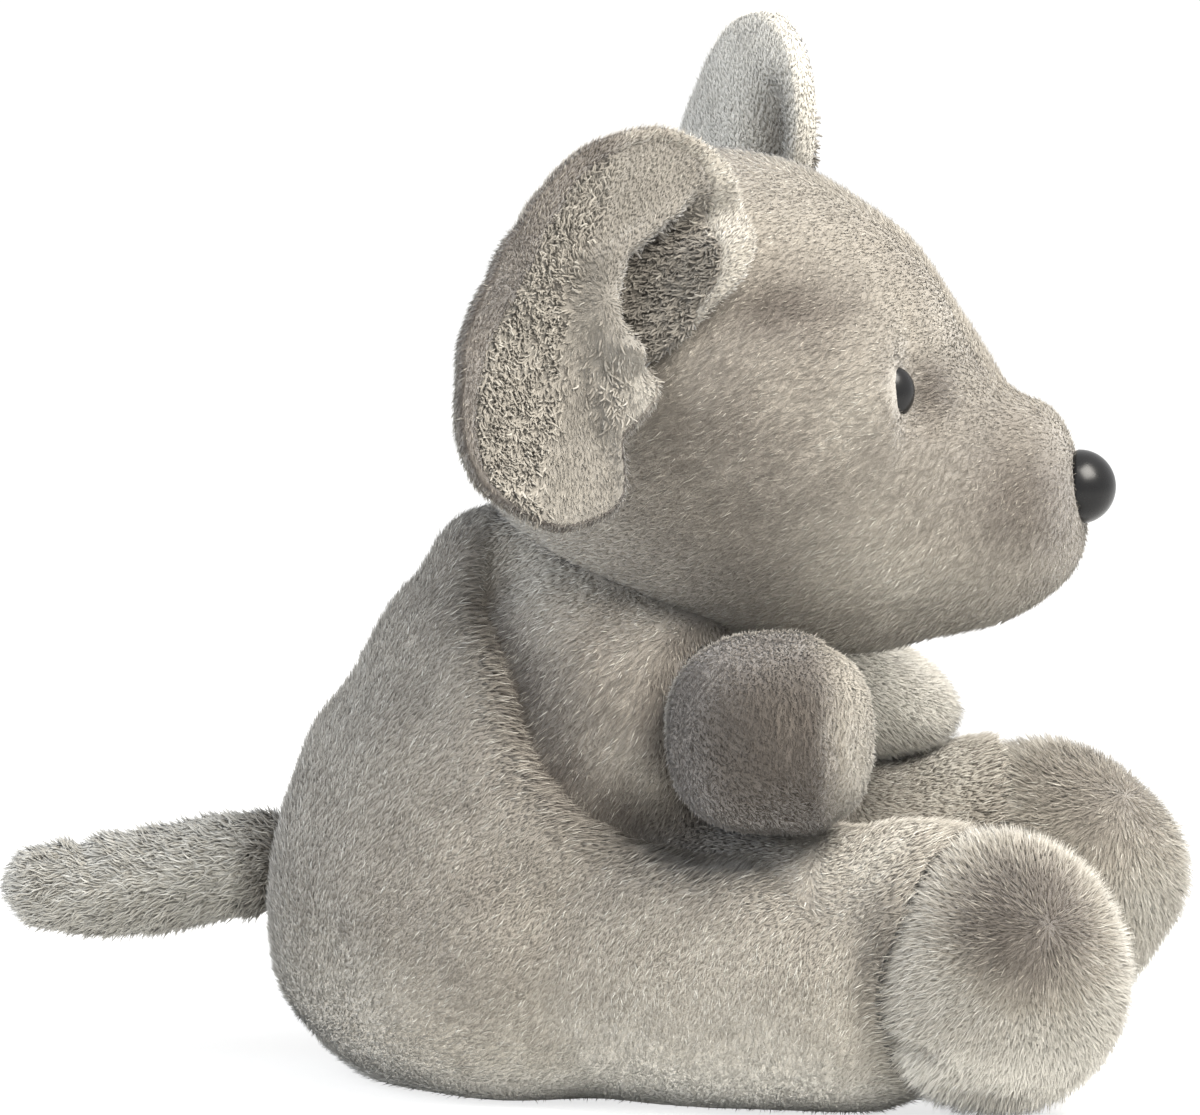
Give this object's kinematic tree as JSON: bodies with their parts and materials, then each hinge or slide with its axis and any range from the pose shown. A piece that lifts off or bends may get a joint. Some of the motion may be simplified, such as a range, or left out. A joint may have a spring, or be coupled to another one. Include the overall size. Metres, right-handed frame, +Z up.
{
  "type": "plush mouse",
  "caption": "Small seated plush mouse with a pear-shaped head, cupped ears, stubby arms, round feet and a short tail, sewn at soft round seams.",
  "frame": {"origin": "middle of the flat seat under the body, on the surface that the mouse sits on", "axes": "+X the way the mouse looks, +Y its left, +Z up"},
  "size_m": [0.134, 0.0982, 0.1196],
  "materials": {
    "body_plush": "grey short-pile plush, brushed",
    "arm_plush": "darker grey short-pile plush",
    "sole_plush": "grey short-pile plush, brushed outwards",
    "tail_plush": "light grey fleece with a short curl",
    "ear_lining": "light grey fleece with a short curl",
    "bead": "glossy black moulded plastic",
    "washer": "natural matt plastic",
    "filling": "white polyester fibre",
    "pellet_pouch": "plain woven pouch of pellets",
    "thread": "grey sewing thread"
  },
  "bodies": {
    "torso": {"torso_skin": "body_plush", "torso_filling": "filling", "bean_pouch": "pellet_pouch", "right_thigh_skin": "body_plush", "right_thigh_filling": "filling", "left_thigh_skin": "body_plush", "left_thigh_filling": "filling"},
    "neck": {"neck_thread": "thread"},
    "head": {"head_skin": "body_plush", "head_filling": "filling", "right_eye": "bead", "right_eye_washer": "washer", "left_eye": "bead", "left_eye_washer": "washer", "nose": "bead", "nose_washer": "washer"},
    "right_ear": {"right_ear_back": "body_plush", "right_ear_lining": "ear_lining"},
    "right_arm": {"right_arm_skin": "arm_plush", "right_arm_filling": "filling"},
    "right_foot": {"right_foot_skin": "body_plush", "right_foot_filling": "filling", "right_foot_sole": "sole_plush"},
    "left_ear": {"left_ear_back": "body_plush", "left_ear_lining": "ear_lining"},
    "left_arm": {"left_arm_skin": "arm_plush", "left_arm_filling": "filling"},
    "left_foot": {"left_foot_skin": "body_plush", "left_foot_filling": "filling", "left_foot_sole": "sole_plush"},
    "tail": {"tail_skin": "tail_plush", "tail_filling": "filling"}
  },
  "joints": [
    {"name": "neck_turn", "type": "hinge", "parent": "torso", "child": "neck", "pos_m": [0.0005, 0, 0.0435], "axis": [0, 0, 1], "range_deg": [-8, 8], "stiffness_Nm_per_rad": 0.3},
    {"name": "head_nod", "type": "hinge", "parent": "neck", "child": "head", "pos_m": [0.0005, 0, 0.0435], "axis": [0, 1, 0], "range_deg": [-10, 2], "stiffness_Nm_per_rad": 0.3},
    {"name": "right_ear_hinge", "type": "hinge", "parent": "head", "child": "right_ear", "pos_m": [0.01632, -0.02694, 0.09101], "axis": [-0.1549, 0.248, 0.9563], "range_deg": [-3, 16], "stiffness_Nm_per_rad": 0.006},
    {"name": "left_ear_hinge", "type": "hinge", "parent": "head", "child": "left_ear", "pos_m": [0.02306, 0.02121, 0.09652], "axis": [0, 0, -1], "range_deg": [-3, 16], "stiffness_Nm_per_rad": 0.006},
    {"name": "right_arm_swing", "type": "hinge", "parent": "torso", "child": "right_arm", "pos_m": [0.01923, -0.02114, 0.0442], "axis": [0, 0, 1], "range_deg": [-3, 15], "stiffness_Nm_per_rad": 0.01},
    {"name": "left_arm_swing", "type": "hinge", "parent": "torso", "child": "left_arm", "pos_m": [0.01662, 0.02375, 0.0442], "axis": [0, 0, -1], "range_deg": [-15, 8], "stiffness_Nm_per_rad": 0.01},
    {"name": "right_ankle_turn", "type": "hinge", "parent": "torso", "child": "right_foot", "pos_m": [0.05026, -0.03384, 0.0172], "axis": [0, 0, 1], "range_deg": [-15, 15], "stiffness_Nm_per_rad": 0.01},
    {"name": "left_ankle_turn", "type": "hinge", "parent": "torso", "child": "left_foot", "pos_m": [0.05026, 0.03384, 0.0172], "axis": [0, 0, -1], "range_deg": [-15, 15], "stiffness_Nm_per_rad": 0.01},
    {"name": "tail_wag", "type": "hinge", "parent": "torso", "child": "tail", "pos_m": [-0.03814, 0, 0.0235], "axis": [0, 0, 1], "range_deg": [-25, 25], "stiffness_Nm_per_rad": 0.004}
  ]
}
